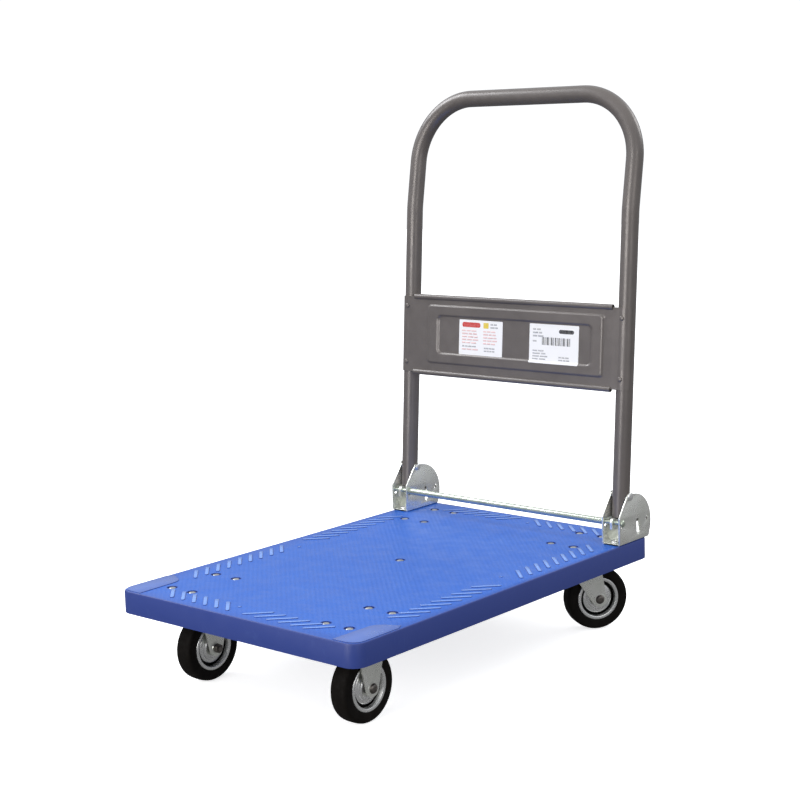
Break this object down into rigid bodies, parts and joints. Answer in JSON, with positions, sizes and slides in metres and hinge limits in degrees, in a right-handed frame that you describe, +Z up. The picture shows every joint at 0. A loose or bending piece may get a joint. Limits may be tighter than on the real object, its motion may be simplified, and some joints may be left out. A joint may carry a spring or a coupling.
{
  "type": "folding platform cart",
  "caption": "Flat moulded platform cart with a fold-down tube handle, foot release bar, fixed front casters and swivelling rear casters",
  "frame": {"origin": "middle of the cart's overall box, on the ground under the wheels", "axes": "+Z up, +Y from the fixed-caster end to the handle end, +X across the deck to the right seen from the handle's front"},
  "size_m": [0.4882, 0.7419, 0.8838],
  "materials": {
    "blue_plastic": "moulded blue plastic, faint grain",
    "zinc_plate": "zinc plated sheet steel",
    "grey_paint": "semi-gloss taupe grey powder coat",
    "rubber": "solid black rubber, matt",
    "dark_steel": "dark steel fasteners",
    "spring_steel": "plain spring wire",
    "black_plastic": "moulded black plastic",
    "white_label": null
  },
  "bodies": {
    "chassis": {"deck": "blue_plastic", "bracket_left": "zinc_plate", "bracket_bolt_left_front": "zinc_plate", "bracket_bolt_left_rear": "zinc_plate", "pivot_bolt_left": "zinc_plate", "pivot_nut_left": "zinc_plate", "release_spring_left": "spring_steel", "front_left_fork": "zinc_plate", "front_left_axle": "dark_steel", "front_left_axle_nut": "dark_steel", "front_left_bush": "black_plastic", "rear_left_top_plate": "zinc_plate", "rear_left_race": "zinc_plate", "rear_left_kingpin": "dark_steel", "bracket_right": "zinc_plate", "bracket_bolt_right_front": "zinc_plate", "bracket_bolt_right_rear": "zinc_plate", "pivot_bolt_right": "zinc_plate", "pivot_nut_right": "zinc_plate", "release_spring_right": "spring_steel", "front_right_fork": "zinc_plate", "front_right_axle": "dark_steel", "front_right_axle_nut": "dark_steel", "front_right_bush": "black_plastic", "rear_right_top_plate": "zinc_plate", "rear_right_race": "zinc_plate", "rear_right_kingpin": "dark_steel"},
    "handle": {"handle_tube": "grey_paint", "handle_panel": "grey_paint", "panel_rivet_left_lower": "grey_paint", "panel_rivet_left_upper": "grey_paint", "post_plug_left": "black_plastic", "label_left": "white_label", "panel_rivet_right_lower": "grey_paint", "panel_rivet_right_upper": "grey_paint", "post_plug_right": "black_plastic", "label_right": "white_label"},
    "release": {"release_bar": "zinc_plate", "lock_plate_left": "zinc_plate", "lock_pin_left": "dark_steel", "lock_plate_right": "zinc_plate", "lock_pin_right": "dark_steel"},
    "rear_left_swivel": {"rear_left_fork": "zinc_plate", "rear_left_axle": "dark_steel", "rear_left_axle_nut": "dark_steel", "rear_left_bush": "black_plastic"},
    "front_left_wheel": {"front_left_tyre": "rubber", "front_left_rim": "zinc_plate"},
    "rear_left_wheel": {"rear_left_tyre": "rubber", "rear_left_rim": "zinc_plate"},
    "rear_right_swivel": {"rear_right_fork": "zinc_plate", "rear_right_axle": "dark_steel", "rear_right_axle_nut": "dark_steel", "rear_right_bush": "black_plastic"},
    "front_right_wheel": {"front_right_tyre": "rubber", "front_right_rim": "zinc_plate"},
    "rear_right_wheel": {"rear_right_tyre": "rubber", "rear_right_rim": "zinc_plate"}
  },
  "joints": [
    {"name": "handle_fold", "type": "hinge", "parent": "chassis", "child": "handle", "pos_m": [0, 0.29295, 0.228], "axis": [1, 0, 0], "range_deg": [0, 101]},
    {"name": "release_press", "type": "slide", "parent": "chassis", "child": "release", "axis": [0, 0, -1], "range_m": [0, 0.004], "stiffness_N_per_m": 5000, "springref_m": -0.01, "deforming": ["release_spring_left", "release_spring_right"]},
    {"name": "front_left_spin", "type": "hinge", "parent": "chassis", "child": "front_left_wheel", "pos_m": [-0.158, -0.27155, 0.0525], "axis": [1, 0, 0], "continuous": true},
    {"name": "rear_left_swivel_turn", "type": "hinge", "parent": "chassis", "child": "rear_left_swivel", "pos_m": [-0.156, 0.26295, 0.115], "axis": [0, 0, 1], "continuous": true},
    {"name": "rear_left_spin", "type": "hinge", "parent": "rear_left_swivel", "child": "rear_left_wheel", "pos_m": [-0.14478, 0.29217, 0.0525], "axis": [0.9336, -0.3584, 0], "continuous": true},
    {"name": "front_right_spin", "type": "hinge", "parent": "chassis", "child": "front_right_wheel", "pos_m": [0.158, -0.27155, 0.0525], "axis": [1, 0, 0], "continuous": true},
    {"name": "rear_right_swivel_turn", "type": "hinge", "parent": "chassis", "child": "rear_right_swivel", "pos_m": [0.156, 0.26295, 0.115], "axis": [0, 0, 1], "continuous": true},
    {"name": "rear_right_spin", "type": "hinge", "parent": "rear_right_swivel", "child": "rear_right_wheel", "pos_m": [0.17323, 0.28908, 0.0525], "axis": [0.8348, -0.5505, 0], "continuous": true}
  ]
}
